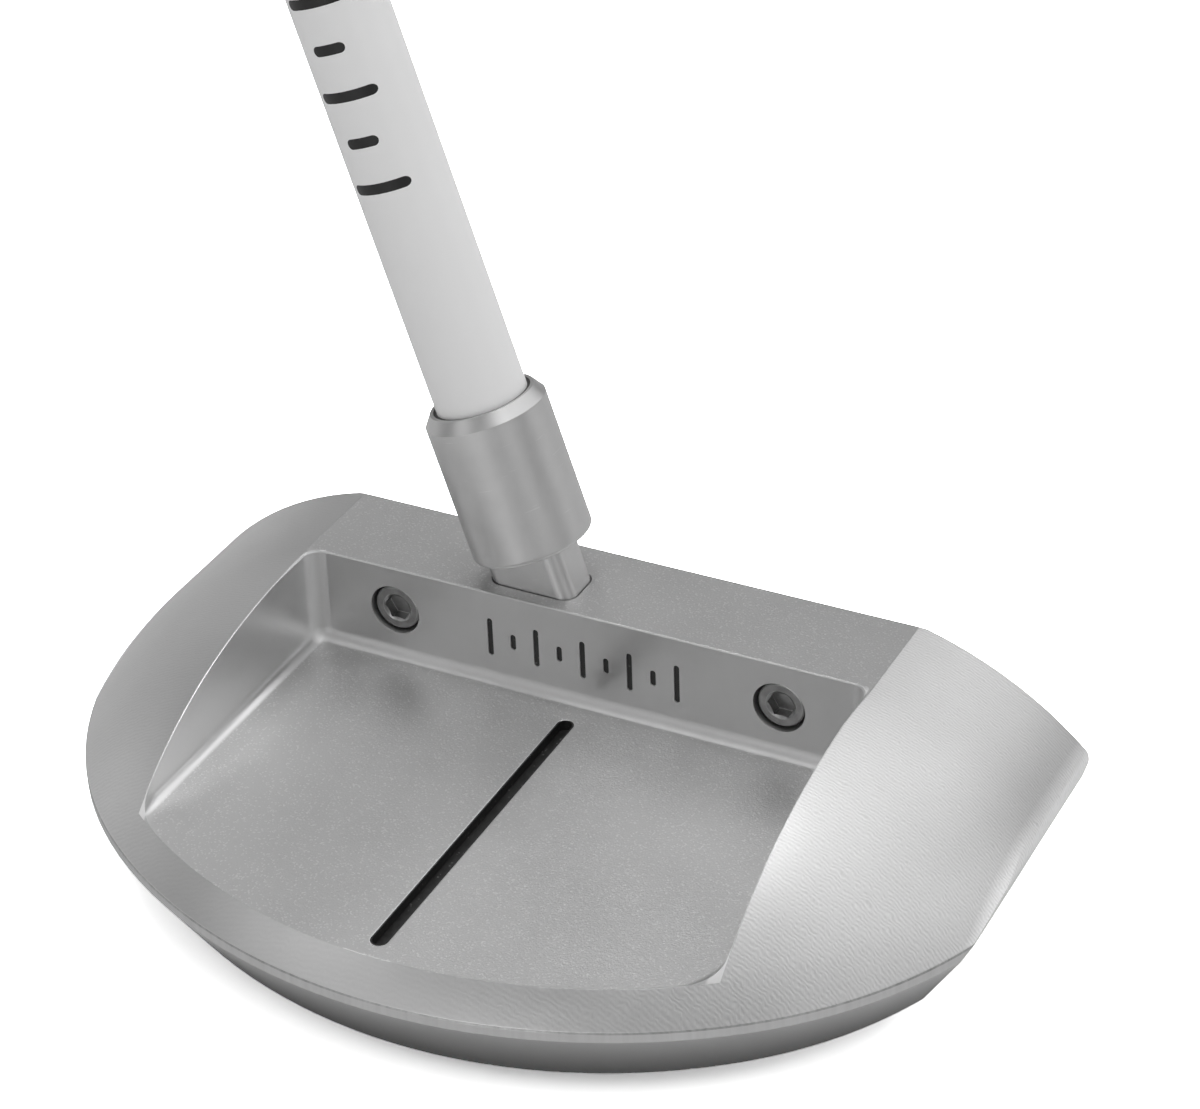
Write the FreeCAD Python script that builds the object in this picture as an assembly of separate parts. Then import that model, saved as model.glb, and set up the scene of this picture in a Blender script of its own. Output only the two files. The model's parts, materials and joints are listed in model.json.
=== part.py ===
"""Mallet putter with a milled half-moon head, riser neck, painted shaft and grip.

Millimetres, +Z up.  -X is the toe, +X the heel, -Y the target (face) side, +Y the back.
The origin is the centre of the small flat at the bottom of the crowned sole.
Parts on the shaft axis are drawn upright in an axis frame: its origin is the point where the
axis crosses the deck, its Z runs up the shaft, its X points to the heel.
"""
import os
from math import atan2, cos, degrees, pi, radians, sin, sqrt, tan

import FreeCAD, Part

Vector = FreeCAD.Vector
UP = Vector(0, 0, 1)
BACK = Vector(0, 1, 0)
HEEL = Vector(1, 0, 0)
TOUCH = 0.01

# Head: heights
DECK_Z = 25.0
FLOOR_Z = 14.5
RIM_Z = 11.45
BAND_HEIGHT = 1.05
UNDERCUT_ANGLE = 32.0
SOLE_CROWN_RADIUS = 280.0
SOLE_FLAT_RADIUS = 8.0
SOLE_EDGE_RADIUS = 2.0
RIM_EDGE_BREAK = 0.15
FRONT_EDGE_BREAK = 0.2

# Head: plan.  The outline is two straight sides, two corner arcs and one rear arc, all tangent.
FACE_Y = -20.0
LOFT = 3.5
SIDE_X = 51.4
REAR_RADIUS = 56.3
REAR_CENTRE_Y = FACE_Y + 2.05
CORNER_RADIUS = 43.9
FLANK_TOP_X = 48.9
FLANK_BOTTOM_X = 48.3
FLANK_KNEE_Z = 13.4
FLANK_CREST_RADIUS = 1.5
OVERRUN = 12.0

# Head: the skirt is one arc carried round the outline
SKIRT_RADIUS = 36.9
SKIRT_CENTRE_DROP = 35.7
CORE_INSET = 24.0
CORE_LAP = 2.0

# Pocket behind the face wall
WALL_Y = FACE_Y + 11.85
POCKET_HALF_WIDTH = 30.9
POCKET_CORNER_RADIUS = 1.7
POCKET_REAR_CORNER_RADIUS = 7.6
POCKET_REAR_INSET = 1.3
POCKET_FLOOR_RADIUS = 1.2
POCKET_EDGE_BREAK = 0.13

# Alignment slot in the pocket floor
SLOT_WIDTH = 1.8
SLOT_DEPTH = 1.2
SLOT_START_Y = FACE_Y + 15.2
SLOT_END_Y = FACE_Y + 54.2
PAINT_THICKNESS = 0.15

# Engraved, paint-filled bar motif on the pocket wall
MARK_COUNT = 9
MARK_PITCH = 2.6
MARK_WIDTH = 0.6
MARK_TALL = 4.4
MARK_SHORT = 1.8
MARK_DEPTH = 0.3
MARK_Z = 19.7

# Face insert and the two cap screws that pull it in from behind
INSERT_HALF_LENGTH = 36.0
INSERT_BOTTOM_Z = 4.3
INSERT_TOP_Z = 22.4
INSERT_THICKNESS = 3.2
INSERT_CORNER_RADIUS = 3.0
INSERT_GAP = 0.08
FACE_SCREW_X = 21.4
FACE_SCREW_Z = 20.0
FACE_SCREW_RADIUS = 1.42
FACE_SCREW_HEAD_RADIUS = 2.53
FACE_SCREW_HEAD_HEIGHT = 2.84
FACE_SCREW_RECESS = 0.45
FACE_SCREW_LENGTH = 7.6
COUNTERBORE_RADIUS = 2.78
CLEARANCE = 0.12
HEX_RADIUS = 1.5
HEX_DEPTH = 1.3
HEX_LEAD_IN = 0.22

# Shaft axis
AXIS_X = 6.2
AXIS_Y = FACE_Y + 7.1
LEAN_TO_HEEL = 19.0
LEAN_TO_TARGET = 1.2

# Riser
TANG_LENGTH_X = 8.9
TANG_LENGTH_Y = 5.5
TANG_CORNER_RADIUS = 1.5
TANG_BOTTOM = -8.0
TANG_TO_HEEL = 0.45
TANG_TO_BACK = 0.25
COLLAR_RADIUS = 6.25
COLLAR_BOTTOM = 4.25
COLLAR_TOP = 20.3
COLLAR_CHAMFER_WIDTH = 0.85
COLLAR_CHAMFER_HEIGHT = 1.2
COLLAR_FOOT_RADIUS = 0.5
BORE_RADIUS = 5.05
BORE_BOTTOM = 5.8

# Screw that holds the riser from the sole
RISER_SCREW_RADIUS = 1.75
RISER_SCREW_TOP = -3.0
RISER_SCREW_SEAT = -20.5
RISER_SCREW_HEAD_RADIUS = 3.1
RISER_SCREW_HEAD_HEIGHT = 3.5
RISER_SCREW_BORE_RADIUS = 3.4
RISER_SCREW_HEX_RADIUS = 1.7
RISER_SCREW_HEX_DEPTH = 1.9

# Threaded weights in the sole
WEIGHT_COUNT = 6
WEIGHT_RADIUS = 7.5
WEIGHT_TOP_Z = 11.0
WEIGHT_RING_RADIUS = 38.0
WEIGHT_STEP = 27.0
WEIGHT_RECESS = 0.3
WEIGHT_HEX_RADIUS = 2.9
WEIGHT_HEX_DEPTH = 3.0
WEIGHT_CHAMFER = 0.5

# Shaft tube (distances run up the axis from the deck)
SHAFT_TIP = 6.0
SHAFT_TIP_RADIUS = 4.7
SHAFT_TAPER_START = 170.0
SHAFT_TAPER_END = 540.0
SHAFT_BUTT_RADIUS = 7.5
SHAFT_END = 834.0
SHAFT_WALL = 0.5
GLUE_BELOW_MOUTH = 0.1

# Grip
GRIP_BOTTOM = 566.0
GRIP_SKIN = 1.3
TAPE_THICKNESS = 0.2
CAP_TOP = 837.5
CAP_PLUG_LENGTH = 12.0
CAP_VENT_RADIUS = 1.5
CAP_EDGE_RADIUS = 1.2
GRIP_CORNER_RADIUS = 3.0
# station up the grip from its lower end, radius, height of the thumb flat, shift to the palm side
GRIP_STATIONS = (
    (0.0, 9.9, 9.0, 0.0),
    (30.0, 10.6, 9.4, 0.1),
    (110.0, 11.8, 10.4, 0.5),
    (180.0, 13.0, 11.2, 1.2),
    (235.0, 13.9, 12.0, 2.0),
    (268.0, 14.9, 12.6, 2.8),
)


def box(x0, x1, y0, y1, z0, z1):
    return Part.makeBox(x1 - x0, y1 - y0, z1 - z0, Vector(x0, y0, z0))


def polygon_face(points):
    return Part.Face(Part.makePolygon(points + points[:1]))


def hexagon_prism(radius, base, axis, depth):
    """Hexagonal socket, corner radius `radius`, sunk from `base` along `axis`."""
    turn = FreeCAD.Rotation(UP, axis)
    corners = []
    for k in range(6):
        angle = radians(60 * k)
        corners.append(base + turn.multVec(Vector(radius * cos(angle), radius * sin(angle), 0)))
    return polygon_face(corners).extrude(axis * depth)


def rounded_bar(x_length, y_length, radius, z0, z1):
    """Upright bar with a rounded rectangular section, centred on the Z axis."""
    bar = box(-x_length / 2, x_length / 2, -y_length / 2, y_length / 2, z0, z1)
    upright = [edge for edge in bar.Edges if abs(edge.tangentAt(edge.FirstParameter).z) > 0.9]
    return bar.makeFillet(radius, upright)


def on_axis(shape):
    """Move a shape from the axis frame to its place on the head."""
    direction = Vector(tan(radians(LEAN_TO_HEEL)), -tan(radians(LEAN_TO_TARGET)), 1).normalize()
    side = BACK.cross(direction).normalize()
    rotation = FreeCAD.Rotation(side, direction.cross(side), direction, "ZXY")
    placed = shape.copy()
    onto_head = FreeCAD.Placement(Vector(AXIS_X, AXIS_Y, DECK_Z), rotation)
    placed.Placement = onto_head.multiply(shape.Placement)
    return placed


# ---------------------------------------------------------------- head outline and skirt

def corner_centre():
    side = SIDE_X - CORNER_RADIUS
    gap = REAR_RADIUS - CORNER_RADIUS
    return Vector(side, REAR_CENTRE_Y + sqrt(gap * gap - side * side), 0)


def outline_edges(inset, z):
    """Outline moved inwards by `inset`, open at the front, from heel to toe."""
    centre = corner_centre()
    join = atan2(centre.y - REAR_CENTRE_Y, centre.x)
    front = FACE_Y - OVERRUN
    side = SIDE_X - inset
    corner = CORNER_RADIUS - inset
    rear = REAR_RADIUS - inset

    def on_corner(angle):
        return Vector(centre.x + corner * cos(angle), centre.y + corner * sin(angle), z)

    def on_rear(angle):
        return Vector(rear * cos(angle), REAR_CENTRE_Y + rear * sin(angle), z)

    def mirrored(point):
        return Vector(-point.x, point.y, point.z)

    start, middle, end = on_corner(0), on_corner(join / 2), on_corner(join)
    return [
        Part.makeLine(Vector(side, front, z), start),
        Part.Arc(start, middle, end).toShape(),
        Part.Arc(end, on_rear(pi / 2), mirrored(end)).toShape(),
        Part.Arc(mirrored(end), mirrored(middle), mirrored(start)).toShape(),
        Part.makeLine(mirrored(start), Vector(-side, front, z)),
    ]


def skirt_x(drop):
    """Half width of the skirt in the face section, `drop` below the deck."""
    reach = sqrt(SKIRT_RADIUS ** 2 - (SKIRT_CENTRE_DROP - drop) ** 2)
    rim = sqrt(SKIRT_RADIUS ** 2 - (SKIRT_CENTRE_DROP - DECK_Z + RIM_Z) ** 2)
    return SIDE_X - rim + reach


def skirt_profile(y):
    """Section of the sweep: deck lip, skirt arc, rim band, undercut."""
    rim_drop = DECK_Z - RIM_Z
    band_z = RIM_Z - BAND_HEIGHT
    foot_x = SIDE_X - band_z * tan(radians(UNDERCUT_ANGLE))
    inner_x = SIDE_X - CORE_INSET - CORE_LAP
    deck_edge = Vector(skirt_x(0), y, DECK_Z)
    half_way = Vector(skirt_x(rim_drop / 2), y, DECK_Z - rim_drop / 2)
    rim = Vector(SIDE_X, y, RIM_Z)
    band = Vector(SIDE_X, y, band_z)
    foot = Vector(foot_x, y, 0)
    inner_foot = Vector(inner_x, y, 0)
    inner_top = Vector(inner_x, y, DECK_Z)
    return Part.Wire([
        Part.makeLine(inner_top, deck_edge),
        Part.Arc(deck_edge, half_way, rim).toShape(),
        Part.makeLine(rim, band),
        Part.makeLine(band, foot),
        Part.makeLine(foot, inner_foot),
        Part.makeLine(inner_foot, inner_top),
    ])


def swept_blank():
    path = Part.Wire(outline_edges(0, RIM_Z))
    ring = path.makePipeShell([skirt_profile(FACE_Y - OVERRUN)], True, False)
    edges = outline_edges(CORE_INSET, 0)
    first = edges[0].Vertexes[0].Point
    last = edges[-1].Vertexes[-1].Point
    core = Part.Face(Part.Wire(edges + [Part.makeLine(last, first)])).extrude(UP * DECK_Z)
    return ring.fuse(core).removeSplitter()


def flank_section():
    """Prism along Y whose sides are the toe and heel flanks."""
    foot_x = FLANK_BOTTOM_X - RIM_Z * tan(radians(UNDERCUT_ANGLE))
    half = [
        Vector(foot_x, 0, 0),
        Vector(FLANK_BOTTOM_X, 0, RIM_Z),
        Vector(FLANK_TOP_X, 0, FLANK_KNEE_Z),
        Vector(FLANK_TOP_X, 0, DECK_Z + OVERRUN),
    ]
    other = [Vector(-point.x, point.y, point.z) for point in reversed(half)]
    length = REAR_RADIUS + REAR_CENTRE_Y - FACE_Y + 2 * OVERRUN
    prism = polygon_face(half + other).extrude(BACK * length)
    prism.translate(BACK * (FACE_Y - OVERRUN))
    return prism


def face_side(depth):
    """Everything in front of the face plane moved `depth` into the head."""
    reach = 2 * SIDE_X
    block = box(-reach, reach, -reach, depth, -reach, reach)
    block.rotate(Vector(0, 0, 0), HEEL, -LOFT)
    block.translate(Vector(0, FACE_Y, DECK_Z))
    return block


def sole_centre_z():
    """Height of the crown's centre, set so that z = 0 cuts a flat of the stated radius."""
    return sqrt(SOLE_CROWN_RADIUS ** 2 - SOLE_FLAT_RADIUS ** 2)


def sole_ball():
    """Ball whose lowest patch is the sole, turned so that no pole or seam lies on it."""
    ball = Part.makeSphere(SOLE_CROWN_RADIUS)
    ball.rotate(Vector(0, 0, 0), BACK, -90)
    ball.translate(UP * sole_centre_z())
    return ball


def sole_z(x, y):
    return sole_centre_z() - sqrt(SOLE_CROWN_RADIUS ** 2 - x * x - y * y)


def level_at(edge, z):
    return abs(edge.BoundBox.ZMin - z) < TOUCH and abs(edge.BoundBox.ZMax - z) < TOUCH


def head_blank():
    """Outer shape of the head: crests and lower edges rounded, rim and front edges broken."""
    blank = swept_blank().common(flank_section())
    blank = blank.common(sole_ball()).cut(face_side(0)).Solids[0]

    crests = []
    for edge in blank.Edges:
        beside_flank = abs(abs(edge.CenterOfMass.x) - FLANK_TOP_X) < 0.4
        if beside_flank and edge.BoundBox.ZMin > RIM_Z + 0.5 and edge.Length > 5:
            crests.append(edge)
    blank = blank.makeFillet(FLANK_CREST_RADIUS, crests).Solids[0]

    lower = []
    for edge in blank.Edges:
        low = edge.BoundBox.ZMax < RIM_Z / 2
        outer = abs(edge.CenterOfMass.x) + abs(edge.CenterOfMass.y) > REAR_RADIUS / 2
        if low and outer and edge.BoundBox.YMax > FACE_Y + 3:
            lower.append(edge)
    blank = blank.makeFillet(SOLE_EDGE_RADIUS, lower).Solids[0]

    behind = REAR_CENTRE_Y + REAR_RADIUS / 2
    rim = [edge for edge in blank.Edges if level_at(edge, RIM_Z) and edge.BoundBox.YMax > behind]
    blank = blank.makeChamfer(RIM_EDGE_BREAK, rim).Solids[0]

    front = [edge for edge in blank.Edges
             if level_at(edge, DECK_Z) and edge.BoundBox.YMax < FACE_Y + TOUCH]
    return blank.makeChamfer(FRONT_EDGE_BREAK, front).Solids[0]


# ---------------------------------------------------------------- head cuts

def upright_edges(shape, at_wall):
    """Vertical edges of the pocket block, either the two at the wall or the two at the rear."""
    upright = [edge for edge in shape.Edges if edge.BoundBox.ZLength > OVERRUN]
    return [edge for edge in upright if (edge.BoundBox.YMin < WALL_Y + TOUCH) == at_wall]


def pocket():
    """Milled pocket: flat wall, two side walls that turn in at the rear, rounded floor edge."""
    length = REAR_RADIUS + OVERRUN
    width = POCKET_HALF_WIDTH
    height = DECK_Z + OVERRUN - FLOOR_Z
    block = box(-width, width, WALL_Y, WALL_Y + length, FLOOR_Z, FLOOR_Z + height)
    disc = Part.makeCylinder(REAR_RADIUS - POCKET_REAR_INSET, height,
                             Vector(0, REAR_CENTRE_Y, FLOOR_Z))
    disc.rotate(Vector(0, REAR_CENTRE_Y, 0), UP, -90)
    block = block.common(disc)
    block = block.makeFillet(POCKET_CORNER_RADIUS, upright_edges(block, True))
    block = block.makeFillet(POCKET_REAR_CORNER_RADIUS, upright_edges(block, False))
    floor = [edge for edge in block.Edges if level_at(edge, FLOOR_Z)]
    return block.makeFillet(POCKET_FLOOR_RADIUS, floor)


def pocketed_blank():
    """Head blank with the pocket cut and the deck edge of the pocket broken."""
    blank = head_blank().cut(pocket()).Solids[0]
    mouth = []
    for edge in blank.Edges:
        inside = abs(edge.CenterOfMass.x) < POCKET_HALF_WIDTH + TOUCH
        near_wall = edge.BoundBox.YMin > WALL_Y - TOUCH and edge.BoundBox.YMax < WALL_Y + 5
        if level_at(edge, DECK_Z) and inside and near_wall:
            mouth.append(edge)
    return blank.makeChamfer(POCKET_EDGE_BREAK, mouth).Solids[0]


def slot(width, z0, z1):
    radius = width / 2
    y0 = SLOT_START_Y + SLOT_WIDTH / 2
    y1 = SLOT_END_Y - SLOT_WIDTH / 2
    bar = box(-radius, radius, y0, y1, z0, z1)
    for y in (y0, y1):
        bar = bar.fuse(Part.makeCylinder(radius, z1 - z0, Vector(0, y, z0)))
    return bar.removeSplitter()


def wall_mark(k, y0, y1):
    """Upright bar with round ends, number `k` of the row; tall and short bars take turns."""
    x = (k - (MARK_COUNT - 1) / 2) * MARK_PITCH
    radius = MARK_WIDTH / 2
    reach = (MARK_TALL if k % 2 == 0 else MARK_SHORT) / 2 - radius
    bar = box(x - radius, x + radius, y0, y1, MARK_Z - reach, MARK_Z + reach)
    for z in (MARK_Z - reach, MARK_Z + reach):
        bar = bar.fuse(Part.makeCylinder(radius, y1 - y0, Vector(x, y0, z), BACK))
    return bar.removeSplitter()


def insert_plate(grow, depth):
    """Rounded plate lying in the lofted face, `depth` thick."""
    mid_z = (INSERT_BOTTOM_Z + INSERT_TOP_Z) / 2
    bar = rounded_bar(2 * (INSERT_HALF_LENGTH + grow), INSERT_TOP_Z - INSERT_BOTTOM_Z + 2 * grow,
                      INSERT_CORNER_RADIUS + grow, 0, depth)
    bar.rotate(Vector(0, 0, 0), HEEL, -90)
    bar.translate(Vector(0, 0, mid_z - DECK_Z))
    bar.rotate(Vector(0, 0, 0), HEEL, -LOFT)
    bar.translate(Vector(0, FACE_Y, DECK_Z))
    return bar


def face_screw_seat():
    return WALL_Y - FACE_SCREW_RECESS - FACE_SCREW_HEAD_HEIGHT


def face_screw_holes(x):
    seat = Vector(x, face_screw_seat(), FACE_SCREW_Z)
    counterbore = Part.makeCylinder(COUNTERBORE_RADIUS, OVERRUN, seat, BACK)
    shank = Part.makeCylinder(FACE_SCREW_RADIUS + CLEARANCE, OVERRUN, seat, -BACK)
    return counterbore.fuse(shank)


def tang_bar(grow, top):
    """The tang, standing a little to the heel and to the back of the shaft axis."""
    bar = rounded_bar(TANG_LENGTH_X + 2 * grow, TANG_LENGTH_Y + 2 * grow,
                      TANG_CORNER_RADIUS + grow, TANG_BOTTOM, top)
    bar.translate(Vector(TANG_TO_HEEL, TANG_TO_BACK, 0))
    return bar


def riser_cuts():
    tang = tang_bar(CLEARANCE, OVERRUN)
    shank = Part.makeCylinder(RISER_SCREW_RADIUS + CLEARANCE, TANG_BOTTOM - RISER_SCREW_SEAT + 1,
                              Vector(0, 0, RISER_SCREW_SEAT))
    counterbore = Part.makeCylinder(RISER_SCREW_BORE_RADIUS, OVERRUN,
                                    Vector(0, 0, RISER_SCREW_SEAT), -UP)
    return on_axis(tang.fuse([shank, counterbore]))


def weight_spots():
    """Centres of the sole weights on an arc about the rear centre."""
    spots = []
    for k in range(WEIGHT_COUNT):
        angle = radians(90 + (k - (WEIGHT_COUNT - 1) / 2) * WEIGHT_STEP)
        x = WEIGHT_RING_RADIUS * cos(angle)
        spots.append((x, REAR_CENTRE_Y + WEIGHT_RING_RADIUS * sin(angle)))
    return spots


def weight_hole(x, y):
    return Part.makeCylinder(WEIGHT_RADIUS, WEIGHT_TOP_Z + OVERRUN, Vector(x, y, -OVERRUN))


def head_body():
    cuts = [slot(SLOT_WIDTH, FLOOR_Z - SLOT_DEPTH, FLOOR_Z + 1)]
    cuts += [wall_mark(k, WALL_Y - MARK_DEPTH, WALL_Y + 1) for k in range(MARK_COUNT)]
    cuts += [insert_plate(INSERT_GAP, INSERT_THICKNESS), insert_front(), riser_cuts()]
    cuts += [face_screw_holes(side * FACE_SCREW_X) for side in (-1, 1)]
    cuts += [weight_hole(x, y) for x, y in weight_spots()]
    return pocketed_blank().cut(cuts)


def insert_front():
    """Opens the insert recess through the face."""
    plate = insert_plate(INSERT_GAP, INSERT_THICKNESS)
    outward = Vector(0, -cos(radians(LOFT)), sin(radians(LOFT)))
    plate.translate(outward * (INSERT_THICKNESS / 2))
    return plate


# ---------------------------------------------------------------- parts fixed to the head

def face_insert():
    plate = insert_plate(0, INSERT_THICKNESS)
    for side in (-1, 1):
        tip = Vector(side * FACE_SCREW_X, face_screw_seat() - FACE_SCREW_LENGTH, FACE_SCREW_Z)
        plate = plate.cut(Part.makeCylinder(FACE_SCREW_RADIUS, OVERRUN, tip, BACK))
    return plate


def cap_screw(radius, length, head_radius, head_height, hex_radius, hex_depth):
    """Socket cap screw standing on its tip, its head seat at the origin, shank going down."""
    shank = Part.makeCylinder(radius, length, Vector(0, 0, -length))
    shank = shank.makeChamfer(radius / 4, [shank.Edges[2]])
    head = Part.makeCylinder(head_radius, head_height)
    head = head.makeFillet(head_radius / 8, [head.Edges[0]])
    top = Vector(0, 0, head_height)
    socket = hexagon_prism(hex_radius, top, -UP, hex_depth)
    lead_in = Part.makeCone(hex_radius + HEX_LEAD_IN / 2, hex_radius - HEX_LEAD_IN,
                            HEX_LEAD_IN, top, -UP)
    return head.fuse(shank).cut([socket, lead_in])


def face_screw(x):
    screw = cap_screw(FACE_SCREW_RADIUS, FACE_SCREW_LENGTH, FACE_SCREW_HEAD_RADIUS,
                      FACE_SCREW_HEAD_HEIGHT, HEX_RADIUS, HEX_DEPTH)
    screw.rotate(Vector(0, 0, 0), HEEL, -90)
    screw.translate(Vector(x, face_screw_seat(), FACE_SCREW_Z))
    return screw


def slot_paint():
    """Coat of paint on the floor and walls of the alignment slot."""
    base = FLOOR_Z - SLOT_DEPTH
    hollow = slot(SLOT_WIDTH - 2 * PAINT_THICKNESS, base + PAINT_THICKNESS, FLOOR_Z + 1)
    return slot(SLOT_WIDTH, base, FLOOR_Z).cut(hollow)


def wall_mark_paint(k):
    """Paint lying in the bottom of one engraved bar."""
    bottom = WALL_Y - MARK_DEPTH
    return wall_mark(k, bottom, bottom + PAINT_THICKNESS)


def sole_weight(x, y):
    bottom = sole_z(x, y) + WEIGHT_RECESS
    plug = Part.makeCylinder(WEIGHT_RADIUS, WEIGHT_TOP_Z - bottom, Vector(x, y, bottom))
    lower = [edge for edge in plug.Edges if edge.BoundBox.ZMax < bottom + 0.01]
    plug = plug.makeChamfer(WEIGHT_CHAMFER, lower)
    return plug.cut(hexagon_prism(WEIGHT_HEX_RADIUS, Vector(x, y, bottom), UP, WEIGHT_HEX_DEPTH))


def riser():
    collar = revolved([
        (0, COLLAR_BOTTOM),
        (COLLAR_RADIUS, COLLAR_BOTTOM),
        (COLLAR_RADIUS, COLLAR_TOP - COLLAR_CHAMFER_HEIGHT),
        (COLLAR_RADIUS - COLLAR_CHAMFER_WIDTH, COLLAR_TOP),
        (0, COLLAR_TOP),
    ])
    foot = [edge for edge in collar.Edges if level_at(edge, COLLAR_BOTTOM)
            and edge.BoundBox.XMax > COLLAR_RADIUS - TOUCH and edge.BoundBox.XMin < 0]
    collar = collar.makeFillet(COLLAR_FOOT_RADIUS, foot)
    tang = tang_bar(0, COLLAR_BOTTOM + 1)
    bore = Part.makeCylinder(BORE_RADIUS, 2 * COLLAR_TOP, Vector(0, 0, BORE_BOTTOM))
    thread = Part.makeCylinder(RISER_SCREW_RADIUS, RISER_SCREW_TOP - TANG_BOTTOM,
                               Vector(0, 0, TANG_BOTTOM))
    return on_axis(collar.fuse(tang).cut(bore).cut(thread))


def riser_screw():
    screw = cap_screw(RISER_SCREW_RADIUS, RISER_SCREW_TOP - RISER_SCREW_SEAT,
                      RISER_SCREW_HEAD_RADIUS, RISER_SCREW_HEAD_HEIGHT,
                      RISER_SCREW_HEX_RADIUS, RISER_SCREW_HEX_DEPTH)
    screw.rotate(Vector(0, 0, 0), HEEL, 180)
    screw.translate(Vector(0, 0, RISER_SCREW_SEAT))
    return on_axis(screw)


# ---------------------------------------------------------------- shaft and grip

def revolved(points):
    """Solid of revolution about the axis from (radius, height) points."""
    corners = [Vector(radius, 0, height) for radius, height in points]
    return polygon_face(corners).revolve(Vector(0, 0, 0), UP, 360)


def shaft():
    tip, butt = SHAFT_TIP_RADIUS, SHAFT_BUTT_RADIUS
    tube = revolved([
        (tip, SHAFT_TIP),
        (tip, SHAFT_TAPER_START),
        (butt, SHAFT_TAPER_END),
        (butt, SHAFT_END),
        (butt - SHAFT_WALL, SHAFT_END),
        (butt - SHAFT_WALL, SHAFT_TAPER_END),
        (tip - SHAFT_WALL, SHAFT_TAPER_START),
        (tip - SHAFT_WALL, SHAFT_TIP),
    ])
    return on_axis(tube)


def shaft_epoxy():
    """Glue between shaft and bore, ending a little below the mouth of the collar."""
    return on_axis(tube(SHAFT_TIP_RADIUS, BORE_RADIUS, SHAFT_TIP, COLLAR_TOP - GLUE_BELOW_MOUTH))


def grip_section(radius, flat, shift, z):
    """Round section with a thumb flat on the toe side, its two corners rounded."""
    corner = GRIP_CORNER_RADIUS
    reach = sqrt((radius - corner) ** 2 - (flat - corner) ** 2)
    angle = atan2(reach, -(flat - corner))
    centre = Vector(shift, 0, z)
    flat_top = centre + Vector(-flat, reach, 0)
    round_start = centre + Vector(radius * cos(angle), radius * sin(angle), 0)
    corner_mid_angle = (angle + pi) / 2
    corner_middle = centre + Vector(-(flat - corner) + corner * cos(corner_mid_angle),
                                    reach + corner * sin(corner_mid_angle), 0)
    palm = centre + Vector(radius, 0, 0)

    def other(point):
        return Vector(point.x, -point.y, point.z)

    return Part.Wire([
        Part.makeLine(other(flat_top), flat_top),
        Part.Arc(flat_top, corner_middle, round_start).toShape(),
        Part.Arc(round_start, palm, other(round_start)).toShape(),
        Part.Arc(other(round_start), other(corner_middle), other(flat_top)).toShape(),
    ])


def grip_loft(inset, bottom_lift):
    sections = []
    for k, (station, radius, flat, shift) in enumerate(GRIP_STATIONS):
        lift = bottom_lift if k == 0 else 0
        z = GRIP_BOTTOM + station + lift
        sections.append(grip_section(radius - inset, flat - inset, shift, z))
    return Part.makeLoft(sections, True, False)


def tube(inner, outer, z0, z1):
    return revolved([(inner, z0), (outer, z0), (outer, z1), (inner, z1)])


def grip_tape():
    inner = SHAFT_BUTT_RADIUS
    return on_axis(tube(inner, inner + TAPE_THICKNESS, GRIP_BOTTOM, SHAFT_END))


def grip_underlisting():
    core = Part.makeCylinder(SHAFT_BUTT_RADIUS + TAPE_THICKNESS, 2 * SHAFT_END)
    return on_axis(grip_loft(GRIP_SKIN, GRIP_SKIN).cut(core))


def grip_skin():
    core = Part.makeCylinder(SHAFT_BUTT_RADIUS + TAPE_THICKNESS, 2 * SHAFT_END)
    return on_axis(grip_loft(0, 0).cut([grip_loft(GRIP_SKIN, GRIP_SKIN), core]))


def grip_end_cap():
    station, radius, flat, shift = GRIP_STATIONS[-1]
    disc = Part.Face(grip_section(radius, flat, shift, SHAFT_END)).extrude(UP * (CAP_TOP - SHAFT_END))
    rim = [edge for edge in disc.Edges if edge.BoundBox.ZMin > CAP_TOP - 0.01]
    disc = disc.makeFillet(CAP_EDGE_RADIUS, rim)
    plug = Part.makeCylinder(SHAFT_BUTT_RADIUS - SHAFT_WALL, CAP_PLUG_LENGTH,
                             Vector(0, 0, SHAFT_END - CAP_PLUG_LENGTH))
    vent = Part.makeCylinder(CAP_VENT_RADIUS, 2 * CAP_PLUG_LENGTH,
                             Vector(0, 0, SHAFT_END - 1.5 * CAP_PLUG_LENGTH))
    return on_axis(disc.fuse(plug).cut(vent))


def all_parts():
    parts = {
        "head_body": head_body(),
        "face_insert": face_insert(),
        "face_screw_heel": face_screw(FACE_SCREW_X),
        "face_screw_toe": face_screw(-FACE_SCREW_X),
        "slot_paint": slot_paint(),
        "riser": riser(),
        "riser_screw": riser_screw(),
        "shaft_epoxy": shaft_epoxy(),
        "shaft": shaft(),
        "grip_tape": grip_tape(),
        "grip_underlisting": grip_underlisting(),
        "grip_skin": grip_skin(),
        "grip_end_cap": grip_end_cap(),
    }
    for k in range(MARK_COUNT):
        parts["wall_mark_paint_%d" % (k + 1)] = wall_mark_paint(k)
    for k, (x, y) in enumerate(weight_spots()):
        parts["sole_weight_%d" % (k + 1)] = sole_weight(x, y)
    return parts


os.makedirs("parts", exist_ok=True)
for name, shape in all_parts().items():
    assert len(shape.Solids) == 1 and shape.isValid(), name
    shape.Solids[0].exportStep("parts/%s.step" % name)
    print(name, round(shape.Volume, 1), "mm3")
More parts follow.
